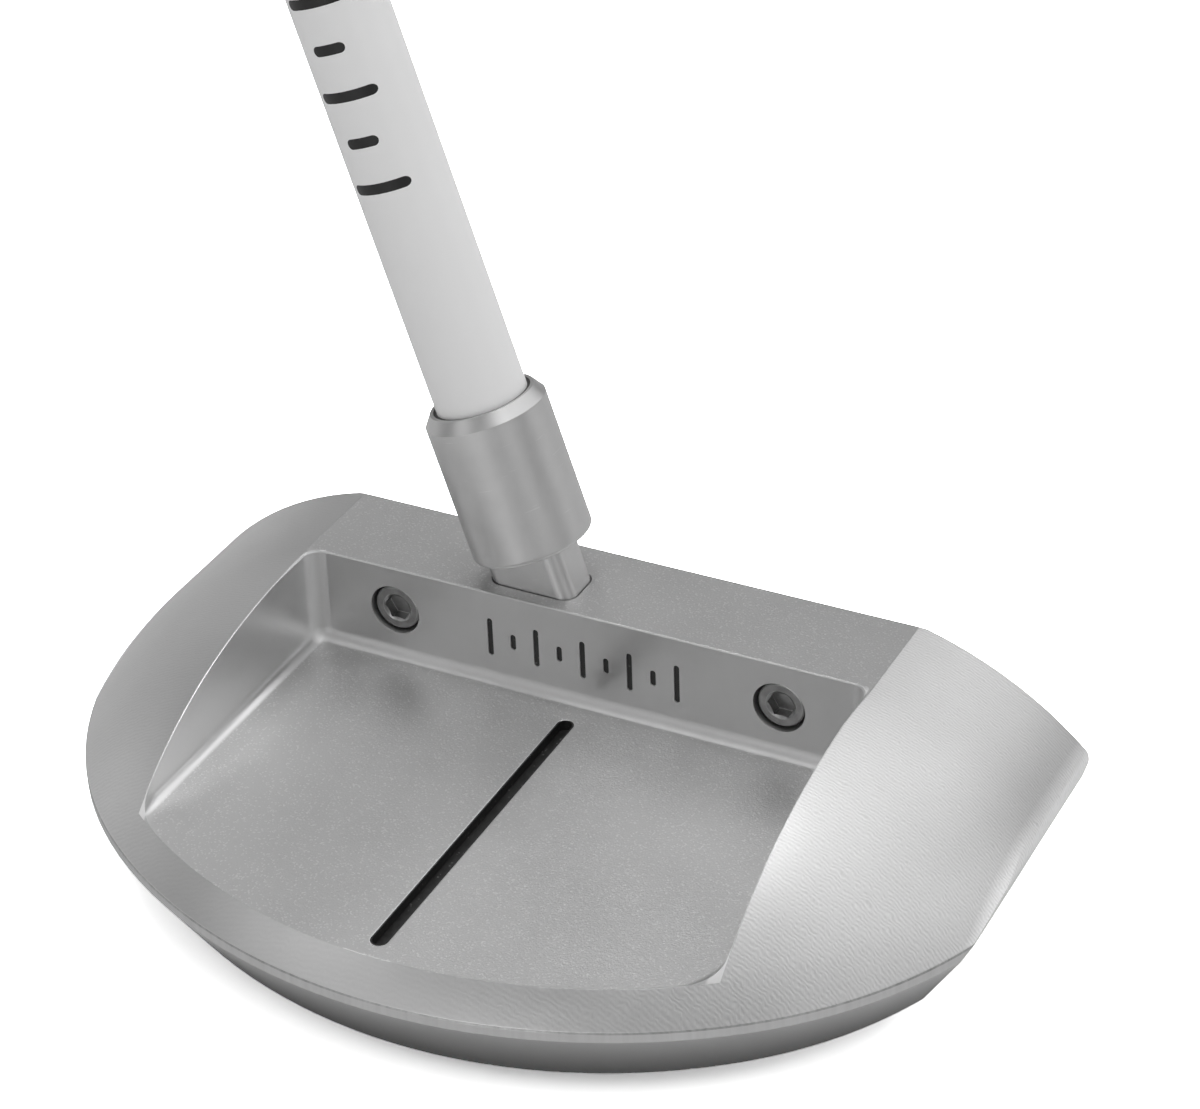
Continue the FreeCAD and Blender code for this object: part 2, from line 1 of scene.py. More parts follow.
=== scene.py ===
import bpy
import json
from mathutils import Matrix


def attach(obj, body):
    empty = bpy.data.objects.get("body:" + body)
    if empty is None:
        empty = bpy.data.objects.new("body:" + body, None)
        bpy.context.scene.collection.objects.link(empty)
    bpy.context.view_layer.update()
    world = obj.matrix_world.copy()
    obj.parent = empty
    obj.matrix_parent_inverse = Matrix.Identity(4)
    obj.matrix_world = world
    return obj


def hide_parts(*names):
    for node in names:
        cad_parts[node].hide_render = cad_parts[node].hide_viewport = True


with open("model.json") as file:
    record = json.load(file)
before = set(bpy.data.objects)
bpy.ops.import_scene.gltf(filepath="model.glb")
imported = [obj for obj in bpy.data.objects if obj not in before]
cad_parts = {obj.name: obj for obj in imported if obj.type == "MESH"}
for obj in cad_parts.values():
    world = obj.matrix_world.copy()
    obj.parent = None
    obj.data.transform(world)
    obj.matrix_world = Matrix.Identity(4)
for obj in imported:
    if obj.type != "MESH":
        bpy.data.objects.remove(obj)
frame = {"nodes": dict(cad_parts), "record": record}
"""Looks of the mallet putter: finishes, grip skin, camera, floor and studio light.

Objects are in metres in the row frame.  Finishes work in millimetres, as the part's source does.
"""
import json
from math import cos, pi, radians, sin, sqrt, tan

import bpy
from mathutils import Matrix, Vector

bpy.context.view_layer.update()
MM_PER_M = 1000.0
NODES = frame["nodes"]

# Head sizes that the finishes need, in millimetres
DECK_Z = 25.0
FLOOR_Z = 14.5
RIM_Z = 11.45
FACE_Y = -20.0
WALL_BEHIND_FACE = 11.85
WALL_Y = FACE_Y + WALL_BEHIND_FACE
POCKET_HALF_WIDTH = 30.9
SCREW_X = 21.4
SCREW_Z = 20.0
POCKET_FILLET = 1.2
POCKET_CORNER = 1.7
SKIN = 0.02

# Shaft axis: the point where it meets the deck, in millimetres, and its lean
AXIS_TO_HEEL = 6.2
AXIS_BEHIND_FACE = 7.1
AXIS_POINT = Vector((AXIS_TO_HEEL, FACE_Y + AXIS_BEHIND_FACE, DECK_Z))
LEAN_TO_HEEL = radians(19.0)
LEAN_TO_TARGET = radians(1.2)
AXIS_UP = Vector((tan(LEAN_TO_HEEL), -tan(LEAN_TO_TARGET), 1)).normalized()
AXIS_HEEL = Vector((0, 1, 0)).cross(AXIS_UP).normalized()
AXIS_BACK = AXIS_UP.cross(AXIS_HEEL)

# Camera: place in metres, heading from the target side towards the heel, pitch, roll, lens in millimetres
CAM_PLACE = (-0.1357, 0.2453, 0.2138)
CAM_HEADING = radians(27.74)
CAM_PITCH = radians(-32.30)
CAM_ROLL = radians(-2.11)
CAM_LENS = 104.5
SENSOR_WIDTH = 36.0
CAM_NEAREST = 0.01

# Studio: each soft box by azimuth from the target side towards the toe, elevation, size in metres
# and power in watts
BOX_DISTANCE = 4.0
SOFT_BOXES = {
    "top": (0, 90, 1.9, 50),
    "front high": (0, 52, 1.9, 9),
    "front toe high": (45, 52, 1.9, 12),
    "toe high": (90, 52, 1.9, 10),
    "back toe high": (135, 52, 1.9, 7.5),
    "front heel high": (335, 40, 1.9, 2.5),
    "front heel top": (300, 73, 1.9, 25),
    "front": (15, 30, 1.9, 10),
    "key": (33, 28, 0.6, 2.5),
    "front toe": (45, 30, 1.9, 2.5),
    "toe": (75, 30, 1.9, 9),
    "toe back": (102, 30, 1.9, 4.5),
    "back heel": (225, 34, 1.9, 13.5),
    "front heel": (318, 30, 1.9, 4),
    "toe low": (60, 14, 1.9, 8),
    "back toe low": (120, 14, 1.9, 9),
    "back low": (180, 14, 1.9, 28),
    "heel low": (270, 14, 1.9, 8),
    "front heel low": (300, 14, 1.9, 5),
}
WORLD_LIGHT = 0.04
WORLD_SEEN = 1.0

# Floor: reach in metres, what it reflects, and how bright the camera sees it near the club and far out
FLOOR_HALF = 12.0
FLOOR_ALBEDO = 0.70
FLOOR_SEEN = 4.5
FLOOR_NEAR = 3.0
FLOOR_FAR_GAIN = 30.0


# ---------------------------------------------------------------- camera, floor, light

def link(obj):
    bpy.context.scene.collection.objects.link(obj)
    return obj


def add_camera():
    data = bpy.data.cameras.new("camera")
    data.lens = CAM_LENS
    data.sensor_width = SENSOR_WIDTH
    data.clip_start = CAM_NEAREST
    camera = link(bpy.data.objects.new("camera", data))
    heading = Matrix.Rotation(pi + CAM_HEADING, 4, "Z")
    pitch = Matrix.Rotation(pi / 2 + CAM_PITCH, 4, "X")
    roll = Matrix.Rotation(CAM_ROLL, 4, "Z")
    camera.matrix_world = Matrix.Translation(CAM_PLACE) @ heading @ pitch @ roll
    bpy.context.scene.camera = camera


def feed(tree, socket, value):
    """Links `value` to the socket, or sets it there if it is a constant."""
    if isinstance(value, bpy.types.NodeSocket):
        tree.links.new(value, socket)
    else:
        socket.default_value = value


def map_range(tree, value, low, high, to_low, to_high):
    """Value that goes from `to_low` to `to_high` as the given one goes from `low` to `high`."""
    node = tree.nodes.new("ShaderNodeMapRange")
    for socket, number in zip(node.inputs, (value, low, high, to_low, to_high)):
        feed(tree, socket, number)
    return node.outputs[0]


def seen_or_lighting(tree, lighting, seen):
    """Value that is `seen` for the camera and `lighting` for every other ray."""
    path = tree.nodes.new("ShaderNodeLightPath")
    return map_range(tree, path.outputs["Is Camera Ray"], 0.0, 1.0, lighting, seen)


def floor_exposure(tree):
    """Brightness of the floor to the camera, raised far out, where the soft boxes light it less."""
    place = tree.nodes.new("ShaderNodeNewGeometry").outputs["Position"]
    reach = tree.nodes.new("ShaderNodeVectorMath")
    reach.operation = "LENGTH"
    tree.links.new(place, reach.inputs[0])
    brightest = FLOOR_SEEN * FLOOR_FAR_GAIN
    return map_range(tree, reach.outputs["Value"], FLOOR_NEAR, FLOOR_HALF, FLOOR_SEEN, brightest)


def add_floor():
    """Pale floor, exposed as white as a studio sweep where the camera sees it."""
    half = FLOOR_HALF
    mesh = bpy.data.meshes.new("floor")
    mesh.from_pydata([(-half, -half, 0), (half, -half, 0), (half, half, 0), (-half, half, 0)],
                     [], [(0, 1, 2, 3)])
    floor = link(bpy.data.objects.new("floor", mesh))
    material = bpy.data.materials.new("floor")
    material.use_nodes = True
    tree = material.node_tree
    tree.nodes.clear()
    diffuse = tree.nodes.new("ShaderNodeBsdfDiffuse")
    output = tree.nodes.new("ShaderNodeOutputMaterial")
    colour = seen_or_lighting(tree, FLOOR_ALBEDO, floor_exposure(tree))
    tree.links.new(colour, diffuse.inputs["Color"])
    tree.links.new(diffuse.outputs["BSDF"], output.inputs["Surface"])
    mesh.materials.append(material)


def add_soft_box(name, azimuth, elevation, size, power):
    """Square area light that faces the row origin."""
    turn, rise = radians(azimuth), radians(elevation)
    outward = Vector((-sin(turn) * cos(rise), -cos(turn) * cos(rise), sin(rise)))
    data = bpy.data.lights.new(name, "AREA")
    data.shape = "SQUARE"
    data.size = size
    data.energy = power
    box = link(bpy.data.objects.new(name, data))
    box.rotation_mode = "QUATERNION"
    box.rotation_quaternion = (-outward).to_track_quat("-Z", "Y")
    box.location = outward * BOX_DISTANCE


def add_world():
    """Dim even light from all round, white where the camera sees it."""
    world = bpy.data.worlds.new("studio")
    world.use_nodes = True
    background = world.node_tree.nodes["Background"]
    background.inputs["Color"].default_value = (1, 1, 1, 1)
    strength = seen_or_lighting(world.node_tree, WORLD_LIGHT, WORLD_SEEN)
    world.node_tree.links.new(strength, background.inputs["Strength"])
    bpy.context.scene.world = world


# ---------------------------------------------------------------- finishes

# An edge is where the rounded normal leaves the plain one: the cosines between which it fades in
EDGE_NONE = 0.985
EDGE_FULL = 0.95
BEVEL_SAMPLES = 6
NOISE_MIDDLE = 0.5


class Finish:
    """A material under construction.  Methods add nodes and return their output sockets."""

    def __init__(self, name, metallic=0.0):
        self.material = bpy.data.materials.new(name)
        self.material.use_nodes = True
        self.tree = self.material.node_tree
        self.shader = self.tree.nodes["Principled BSDF"]
        self.shader.inputs["Metallic"].default_value = metallic
        self.coords = self.tree.nodes.new("ShaderNodeTexCoord")
        self.place = self.vector("SCALE", self.coords.outputs["Object"], scale=MM_PER_M)

    def feed(self, socket, value):
        feed(self.tree, socket, value)

    def math(self, operation, a, b=0.0, c=0.0):
        node = self.tree.nodes.new("ShaderNodeMath")
        node.operation = operation
        for socket, value in zip(node.inputs, (a, b, c)):
            self.feed(socket, value)
        return node.outputs[0]

    def vector(self, operation, a, b=(0, 0, 0), scale=1.0):
        node = self.tree.nodes.new("ShaderNodeVectorMath")
        node.operation = operation
        self.feed(node.inputs[0], a)
        self.feed(node.inputs[1], b)
        self.feed(node.inputs[3], scale)
        return node.outputs["Value" if operation in ("DOT_PRODUCT", "LENGTH") else "Vector"]

    def split(self, vector):
        node = self.tree.nodes.new("ShaderNodeSeparateXYZ")
        self.feed(node.inputs[0], vector)
        return node.outputs

    def join(self, x, y, z):
        node = self.tree.nodes.new("ShaderNodeCombineXYZ")
        for socket, value in zip(node.inputs, (x, y, z)):
            self.feed(socket, value)
        return node.outputs[0]

    def less(self, a, b):
        return self.math("LESS_THAN", a, b)

    def more(self, a, b):
        return self.math("GREATER_THAN", a, b)

    def both(self, a, b):
        return self.math("MULTIPLY", a, b)

    def either(self, a, b):
        return self.math("MAXIMUM", a, b)

    def flip(self, a):
        return self.math("SUBTRACT", 1.0, a)

    def plus(self, a, b):
        return self.math("ADD", a, b)

    def minus(self, a, b):
        return self.math("SUBTRACT", a, b)

    def times(self, a, b):
        return self.math("MULTIPLY", a, b)

    def absolute(self, a):
        return self.math("ABSOLUTE", a)

    def blend(self, factor, a, b):
        """Number `a` where factor is 0, `b` where it is 1."""
        node = self.tree.nodes.new("ShaderNodeMix")
        node.data_type = "FLOAT"
        self.feed(node.inputs[0], factor)
        self.feed(node.inputs[2], a)
        self.feed(node.inputs[3], b)
        return node.outputs[0]

    def spread(self, value, low, high, to_low=0.0, to_high=1.0):
        return map_range(self.tree, value, low, high, to_low, to_high)

    def vary(self, noise, low, high, reach=0.2):
        """Value from `low` to `high` as soft noise goes from `reach` under its middle to as much over."""
        return self.spread(noise, NOISE_MIDDLE - reach, NOISE_MIDDLE + reach, low, high)

    def noise(self, vector, per_mm, detail=1.0, roughness=0.5):
        """Soft noise between 0 and 1, with about `per_mm` features to the millimetre."""
        node = self.tree.nodes.new("ShaderNodeTexNoise")
        self.feed(node.inputs["Vector"], vector)
        node.inputs["Scale"].default_value = per_mm
        node.inputs["Detail"].default_value = detail
        node.inputs["Roughness"].default_value = roughness
        return node.outputs["Fac"]

    def specks(self, vector, per_mm, share):
        """1 in a small random share of grains, 0 elsewhere."""
        node = self.tree.nodes.new("ShaderNodeTexVoronoi")
        self.feed(node.inputs["Vector"], vector)
        node.inputs["Scale"].default_value = per_mm
        grain = self.split(node.outputs["Color"])[0]
        return self.less(grain, share)

    def turned_rings(self, radius, per_mm):
        """Noise that changes with the radius alone, as a lathe tool leaves it."""
        return self.noise(self.join(self.times(radius, per_mm), 0.0, 0.0), 1.0, detail=2.0, roughness=0.7)

    def wave(self, value, pitch):
        """Sine between -1 and 1 that repeats every `pitch` millimetres."""
        return self.math("SINE", self.times(value, 2 * pi / pitch))

    def soft_edges(self, radius_mm, where=1.0):
        """Normal with sharp edges rounded by `radius_mm`, and a mask of those edges."""
        node = self.tree.nodes.new("ShaderNodeBevel")
        node.samples = BEVEL_SAMPLES
        self.feed(node.inputs["Radius"], self.math("DIVIDE", radius_mm, MM_PER_M))
        rounded = node.outputs["Normal"]
        plain = self.tree.nodes.new("ShaderNodeNewGeometry").outputs["Normal"]
        agree = self.vector("DOT_PRODUCT", rounded, plain)
        mask = self.both(self.spread(agree, EDGE_NONE, EDGE_FULL), where)
        turned = self.vector("SCALE", self.vector("SUBTRACT", rounded, plain), scale=mask)
        return self.vector("NORMALIZE", self.vector("ADD", plain, turned)), mask

    def bump(self, height_mm, normal=None):
        """Raises the surface by a height in millimetres."""
        node = self.tree.nodes.new("ShaderNodeBump")
        node.inputs["Strength"].default_value = 1.0
        node.inputs["Distance"].default_value = 1 / MM_PER_M
        self.feed(node.inputs["Height"], height_mm)
        if normal is not None:
            self.feed(node.inputs["Normal"], normal)
        return node.outputs["Normal"]

    def raised(self, pattern, height_mm, normal=None):
        """Raises the surface where a pattern of 0 to 1 is high."""
        return self.bump(self.times(pattern, height_mm), normal)

    def grey(self, value):
        node = self.tree.nodes.new("ShaderNodeCombineColor")
        for socket in node.inputs:
            self.feed(socket, value)
        return node.outputs[0]

    def done(self, grey, roughness, normal):
        """The material, with what it reflects, its roughness and its normal set."""
        self.feed(self.shader.inputs["Base Color"], self.grey(grey))
        self.feed(self.shader.inputs["Roughness"], roughness)
        self.feed(self.shader.inputs["Normal"], normal)
        return self.material

    def axis_frame(self):
        """Place in the shaft's own frame: towards the heel, towards the back, up the axis."""
        offset = self.vector("SUBTRACT", self.place, AXIS_POINT)
        return [self.vector("DOT_PRODUCT", offset, way) for way in (AXIS_HEEL, AXIS_BACK, AXIS_UP)]


# Pocket: where tones change over its fillets, in millimetres from the wall, the floor or a side
FILLET_START = 0.2
SIDE_FADE = 0.3
FOOT_FULL = 0.9
FOOT_GONE = 1.4


def head_zones(f):
    """Masks of the head's differently worked areas."""
    x, y, z = f.split(f.place)
    inside = f.less(f.absolute(x), POCKET_HALF_WIDTH + SKIN)
    behind = f.more(y, WALL_Y - SKIN)
    above = f.more(z, FLOOR_Z - SKIN)
    pocket = f.both(f.both(inside, behind), above)
    floor = f.both(pocket, f.less(z, FLOOR_Z + SKIN))
    deck = f.more(z, DECK_Z - SKIN)
    lower = f.less(z, RIM_Z - SKIN)
    skirt = f.flip(f.either(f.either(pocket, deck), lower))
    return {"pocket": pocket, "floor": floor, "deck": deck, "lower": lower, "skirt": skirt}


def pocket_zones(f, zones):
    """Masks of the pocket wall, its side walls, and the fillet at the wall's foot."""
    x, y, z = f.split(f.place)
    fillet_x = POCKET_HALF_WIDTH - POCKET_FILLET
    off_wall = f.spread(y, WALL_Y + FILLET_START, WALL_Y + POCKET_FILLET)
    risen = f.spread(z, FLOOR_Z + FILLET_START, FLOOR_Z + POCKET_FILLET)
    aside = f.spread(f.absolute(x), fillet_x, fillet_x + SIDE_FADE)
    near_floor = f.flip(f.spread(z, FLOOR_Z + FOOT_FULL, FLOOR_Z + FOOT_GONE))
    corner = f.more(f.absolute(x), POCKET_HALF_WIDTH - POCKET_CORNER)
    foot = f.both(f.either(near_floor, corner), f.less(y, WALL_Y + POCKET_CORNER))
    return {
        "wall": f.both(zones["pocket"], f.flip(off_wall)),
        "sides": f.both(f.both(zones["pocket"], off_wall), f.either(risen, aside)),
        "foot": f.both(f.both(zones["pocket"], foot), f.flip(zones["floor"])),
    }


# Cutter passes on the skirt: pitch, height, how far they wander, and how long the chips are
RASTER_PITCH = 0.36
RASTER_HEIGHT = 0.0052
RASTER_WANDER = 0.7
CHIPS_PER_MM = 3.4
LANE_SHIFT = 5.3
# The passes fade in towards the toe and, more weakly, towards the heel: from x, to x, to share
RASTER_LEAST = 0.2
RASTER_TO_TOE = (-4.0, -36.0, 1.0)
RASTER_TO_HEEL = (22.0, 40.0, 0.45)
# Painted shade in the passes' grooves and painted highlight on their crests: grey factors at the lowest and
# highest
RASTER_SHADE_TONES = (0.88, 1.12)
CHIP_DEPTHS = (0.1, 1.0)
CHIP_REACH = 0.15


def raster(f):
    """Close wavy passes of a ball cutter, each broken into short chips: their height, and painted shade
    that darkens their grooves and lightens their crests.
    """
    x, y, z = f.split(f.place)
    wander = f.times(f.noise(f.place, per_mm=0.9, detail=2.0), RASTER_WANDER)
    pass_place = f.plus(y, wander)
    lane = f.math("ROUND", f.math("DIVIDE", pass_place, RASTER_PITCH))
    chips = f.noise(f.join(f.times(x, CHIPS_PER_MM), f.times(lane, LANE_SHIFT), 0.0), per_mm=1.0)
    cut = f.times(f.wave(pass_place, RASTER_PITCH), f.vary(chips, *CHIP_DEPTHS, CHIP_REACH))
    shares = [f.spread(x, start, end, RASTER_LEAST, most)
              for start, end, most in (RASTER_TO_TOE, RASTER_TO_HEEL)]
    share = f.either(*shares)
    # Painted shade and highlight that follow the cut
    tone = f.spread(f.times(cut, share), -1.0, 1.0, *RASTER_SHADE_TONES)
    return f.times(f.both(cut, share), RASTER_HEIGHT), tone


# Greys and heights of the rim, from the sole up
SOLE_Z = 3.5
BAND_Z = RIM_Z - 1.05
SEAM_LOW_Z = RIM_Z - 0.14
SEAM_HIGH_Z = RIM_Z + 0.05
# Painted shade: the undercut's grey falls from the band down towards the sole
UNDERCUT_SHADE_GREYS = (0.37, 0.78)
BAND_GREYS = (0.58, 0.62)
SEAM_GREYS = (0.38, 0.50)
CHATTER_PER_MM = 1.6
CHATTER_REACH = 0.15
# The flats at toe and heel are lightened as a painted reflection of the bright floor: where |x| starts to
# count as a flat, and where it is one
FLANK_INNER_X = 47.6
FLANK_X = 48.6
FLANK_REFLECTION_GREY = 0.97


def rim_tones(f, zones, base):
    """Toe and heel flats lightened as a painted reflection, a dark chattered seam under the skirt, and
    painted shade that darkens the undercut towards the sole.
    """
    x, y, z = f.split(f.place)
    across = f.join(f.times(x, CHATTER_PER_MM), f.times(y, CHATTER_PER_MM), 0.0)
    chatter = f.noise(across, per_mm=1.0, detail=2.0)
    # Painted shade: the undercut darkens towards the sole
    base = f.blend(zones["lower"], base, f.spread(z, SOLE_Z, BAND_Z, *UNDERCUT_SHADE_GREYS))
    band = f.both(zones["lower"], f.more(z, BAND_Z))
    base = f.blend(band, base, f.vary(chatter, *BAND_GREYS, CHATTER_REACH))
    flank = f.spread(f.absolute(x), FLANK_INNER_X, FLANK_X)
    # Painted reflection: the flats are lightened to near white
    base = f.blend(f.both(flank, zones["skirt"]), base, FLANK_REFLECTION_GREY)
    seam = f.both(f.more(z, SEAM_LOW_Z), f.less(z, SEAM_HIGH_Z))
    return f.blend(seam, base, f.vary(chatter, *SEAM_GREYS, CHATTER_REACH))


# What each worked area reflects and how rough it is; the pocket floor has the first values. The pocket's
# side walls and fillets are near white as a painted highlight.
FLOOR_GREY = 0.68
FLOOR_ROUGHNESS = 0.36
HEAD_GREYS = {"skirt": 0.69, "wall": 0.65, "deck": 0.65, "sides": 0.97}
HEAD_ROUGHNESS = {"skirt": 0.44, "wall": 0.32, "sides": 0.31, "foot": 0.58}


def head_tones(f, zones):
    """Reflectance and roughness of each worked area, with a painted highlight on the pocket's side walls
    and fillets.
    """
    areas = {**zones, **pocket_zones(f, zones)}
    base, rough = FLOOR_GREY, FLOOR_ROUGHNESS
    for area, grey in HEAD_GREYS.items():
        base = f.blend(areas[area], base, grey)
    for area, roughness in HEAD_ROUGHNESS.items():
        rough = f.blend(areas[area], rough, roughness)
    return rim_tones(f, zones, base), rough


BLAST_HEIGHT = 0.040
MILLED_HEIGHT = 0.002
GLINT_GAIN = 1.18
SLOT_REACH = 2.5
# Edges: their rounding grows over the last millimetres before the pocket's heel side, and they get a
# painted highlight, brightest there and on the slot's heel side
HEEL_EDGE_SPAN = 3.0
EDGE_RADII = (0.20, 0.38)
EDGE_HIGHLIGHT_GREYS = (0.64, 0.97)
EDGES_FROM_Z = RIM_Z + 0.1


def head_finish():
    """Blasted deck and pocket floor, milled pocket walls, raster-milled skirt."""
    f = Finish("head_aluminium", metallic=1.0)
    x, y, z = f.split(f.place)
    zones = head_zones(f)
    blasted = f.either(zones["deck"], zones["floor"])
    grain = f.noise(f.place, per_mm=5.0, detail=2.0, roughness=0.6)
    sparkle = f.specks(f.place, per_mm=6.5, share=0.09)
    raster_height, raster_shade = raster(f)
    grain_height = f.times(grain, f.blend(blasted, MILLED_HEIGHT, BLAST_HEIGHT))
    height = f.plus(f.times(raster_height, zones["skirt"]), grain_height)

    near_slot = f.both(zones["floor"], f.less(f.absolute(x), SLOT_REACH))
    to_heel = f.spread(x, POCKET_HALF_WIDTH - HEEL_EDGE_SPAN, POCKET_HALF_WIDTH)
    highlit_edges = f.either(to_heel, f.both(near_slot, f.more(x, 0.0)))
    edged, edges = f.soft_edges(f.blend(to_heel, *EDGE_RADII), f.either(f.flip(zones["pocket"]), near_slot))

    base, rough = head_tones(f, zones)
    cloud = f.vary(f.noise(f.place, per_mm=0.09, detail=3.0), low=0.97, high=1.03)
    glint = f.blend(f.both(sparkle, blasted), 1.0, GLINT_GAIN)
    base = f.times(f.times(base, cloud), glint)
    # Painted shade and highlight of the cutter passes on the skirt
    base = f.blend(zones["skirt"], base, f.times(base, raster_shade))
    # Painted highlight along the edges above the rim
    base = f.blend(f.both(edges, f.more(z, EDGES_FROM_Z)), base, f.blend(highlit_edges, *EDGE_HIGHLIGHT_GREYS))
    rough = f.plus(rough, f.vary(grain, low=-0.03, high=0.03))
    return f.done(base, rough, f.bump(height, edged))


# Riser: tool marks round the axis, and scratches that run round it too, far longer than they are wide
TURNING_PER_MM = 9.0
TURNING_HEIGHT = 0.0025
SCRATCHES_PER_MM = 6.0
SCRATCH_STRETCH = 0.35
SCRATCH_FROM = 0.72
SCRATCH_FULL = 0.78
SCRATCH_HEIGHT = -0.001
SCRATCH_SHOW = 0.3
SCRATCH_GREY = 0.85


def riser_finish():
    """Fine turned steel with a few light scratches."""
    f = Finish("riser_steel", metallic=1.0)
    heel, back, up = f.axis_frame()
    turning = f.noise(f.join(f.times(up, TURNING_PER_MM), 0.0, 0.0), per_mm=1.0, detail=3.0, roughness=0.7)
    around = [f.times(way, SCRATCH_STRETCH) for way in (heel, back)]
    streaks = f.noise(f.join(f.times(up, SCRATCHES_PER_MM), *around), per_mm=1.0)
    scratch = f.spread(streaks, SCRATCH_FROM, SCRATCH_FULL)
    height = f.plus(f.times(turning, TURNING_HEIGHT), f.times(scratch, SCRATCH_HEIGHT))
    smudge = f.noise(f.place, per_mm=0.35, detail=3.0)
    base = f.vary(smudge, low=0.61, high=0.65)
    base = f.blend(f.both(scratch, SCRATCH_SHOW), base, SCRATCH_GREY)
    return f.done(base, f.vary(smudge, low=0.40, high=0.45), f.bump(height))


BAR_COUNT = 9
BAR_FIRST = 44.6
BAR_PITCH = 4.7
BAR_WIDTH = 1.05
BAR_LONG = 3.0
BAR_SHORT = 1.7
BAR_TO_TOE = 0.4


def printed_bars(f):
    """Mask of the bars printed along the back of the shaft, long and short in turn."""
    heel, back, up = f.axis_frame()
    count = f.math("DIVIDE", f.minus(up, BAR_FIRST), BAR_PITCH)
    nearest = f.math("ROUND", count)
    off_centre = f.times(f.absolute(f.minus(count, nearest)), BAR_PITCH)
    odd = f.math("PINGPONG", nearest, 1.0)
    reach = f.blend(odd, BAR_LONG, BAR_SHORT)
    across = f.absolute(f.plus(heel, BAR_TO_TOE))
    end = f.math("MAXIMUM", f.minus(across, f.minus(reach, BAR_WIDTH / 2)), 0.0)
    distance = f.math("SQRT", f.plus(f.times(end, end), f.times(off_centre, off_centre)))
    bar = f.less(distance, BAR_WIDTH / 2)
    in_row = f.both(f.more(nearest, -0.5), f.less(nearest, BAR_COUNT - 0.5))
    return f.both(f.both(bar, in_row), f.more(back, 0.0))


INK_GREY = 0.008
INK_ROUGHNESS = 0.42
PAINT_SHEEN = 0.6
PAINT_SHEEN_ROUGHNESS = 0.5


def shaft_finish():
    """Gloss white paint with a faint orange peel and black printed bars."""
    f = Finish("shaft_white")
    peel = f.noise(f.place, per_mm=0.25)
    tone = f.vary(f.noise(f.place, per_mm=0.05), low=0.93, high=0.945)
    ink = printed_bars(f)
    f.shader.inputs["Sheen Roughness"].default_value = PAINT_SHEEN_ROUGHNESS
    f.feed(f.shader.inputs["Sheen Weight"], f.blend(ink, PAINT_SHEEN, 0.0))
    rough = f.blend(ink, f.vary(peel, low=0.30, high=0.33), INK_ROUGHNESS)
    return f.done(f.blend(ink, tone, INK_GREY), rough, f.raised(peel, height_mm=0.003))


DUST_GREY = 0.10


def enamel_finish():
    """Black enamel in the slot and the engraved bars, a little uneven, with a few dust grains."""
    f = Finish("slot_black")
    flow = f.noise(f.place, per_mm=1.2, detail=2.0)
    dust = f.specks(f.place, per_mm=6.0, share=0.012)
    base = f.blend(dust, f.vary(flow, low=0.010, high=0.018), DUST_GREY)
    return f.done(base, f.vary(flow, low=0.32, high=0.50), f.raised(flow, height_mm=0.02))


# Painted highlight: the grey that the edges of each steel piece are lightened to
SCREW_EDGE_HIGHLIGHT_GREY = 0.5
INSERT_EDGE_HIGHLIGHT_GREY = 0.85
WEIGHT_EDGE_HIGHLIGHT_GREY = 0.8


def screw_finish():
    """Darkened screw steel, turned in rings about each screw of the pocket wall."""
    f = Finish("screw_steel", metallic=1.0)
    x, y, z = f.split(f.place)
    aside = f.minus(f.absolute(x), SCREW_X)
    radius = f.vector("LENGTH", f.join(aside, f.minus(z, SCREW_Z), 0.0))
    rings = f.turned_rings(radius, per_mm=7.0)
    stain = f.noise(f.place, per_mm=1.1, detail=3.0)
    edged, edges = f.soft_edges(radius_mm=0.12)
    # Painted highlight along the screw's edges
    base = f.blend(edges, f.vary(stain, low=0.28, high=0.36), SCREW_EDGE_HIGHLIGHT_GREY)
    return f.done(base, f.vary(stain, low=0.29, high=0.38), f.raised(rings, height_mm=0.004, normal=edged))


FLY_CUT_CENTRE_Z = -70.0
FLY_CUT_PITCH = 0.9
FLY_CUT_WANDER = 0.15
FLY_CUT_HEIGHT = 0.006
INSERT_GRAIN_HEIGHT = 0.004


def insert_finish():
    """Face plate with the wide crossing arcs of a fly cutter."""
    f = Finish("insert_steel", metallic=1.0)
    x, y, z = f.split(f.place)
    reach = f.vector("LENGTH", f.join(x, f.minus(z, FLY_CUT_CENTRE_Z), 0.0))
    wander = f.times(f.noise(f.place, per_mm=0.3), FLY_CUT_WANDER)
    arcs = f.wave(f.plus(reach, wander), FLY_CUT_PITCH)
    grain = f.noise(f.place, per_mm=3.0, detail=2.0)
    edged, edges = f.soft_edges(radius_mm=0.15)
    height = f.plus(f.times(arcs, FLY_CUT_HEIGHT), f.times(grain, INSERT_GRAIN_HEIGHT))
    # Painted highlight along the face plate's edges
    base = f.blend(edges, f.vary(grain, low=0.56, high=0.64), INSERT_EDGE_HIGHLIGHT_GREY)
    return f.done(base, f.vary(grain, low=0.30, high=0.40), f.bump(height, edged))


BOX_MIDDLE = (0.5, 0.5, 0.5)


def weight_finish():
    """Turned steel plugs with rings about their own centres."""
    f = Finish("weight_steel", metallic=1.0)
    centred = f.vector("SUBTRACT", f.coords.outputs["Generated"], BOX_MIDDLE)
    x, y, z = f.split(centred)
    rings = f.turned_rings(f.vector("LENGTH", f.join(x, y, 0.0)), per_mm=60.0)
    stain = f.noise(f.place, per_mm=0.4, detail=3.0)
    edged, edges = f.soft_edges(radius_mm=0.2)
    # Painted highlight along the weight's edges
    base = f.blend(edges, f.vary(stain, low=0.46, high=0.54), WEIGHT_EDGE_HIGHLIGHT_GREY)
    return f.done(base, f.vary(stain, low=0.29, high=0.37), f.raised(rings, height_mm=0.006, normal=edged))


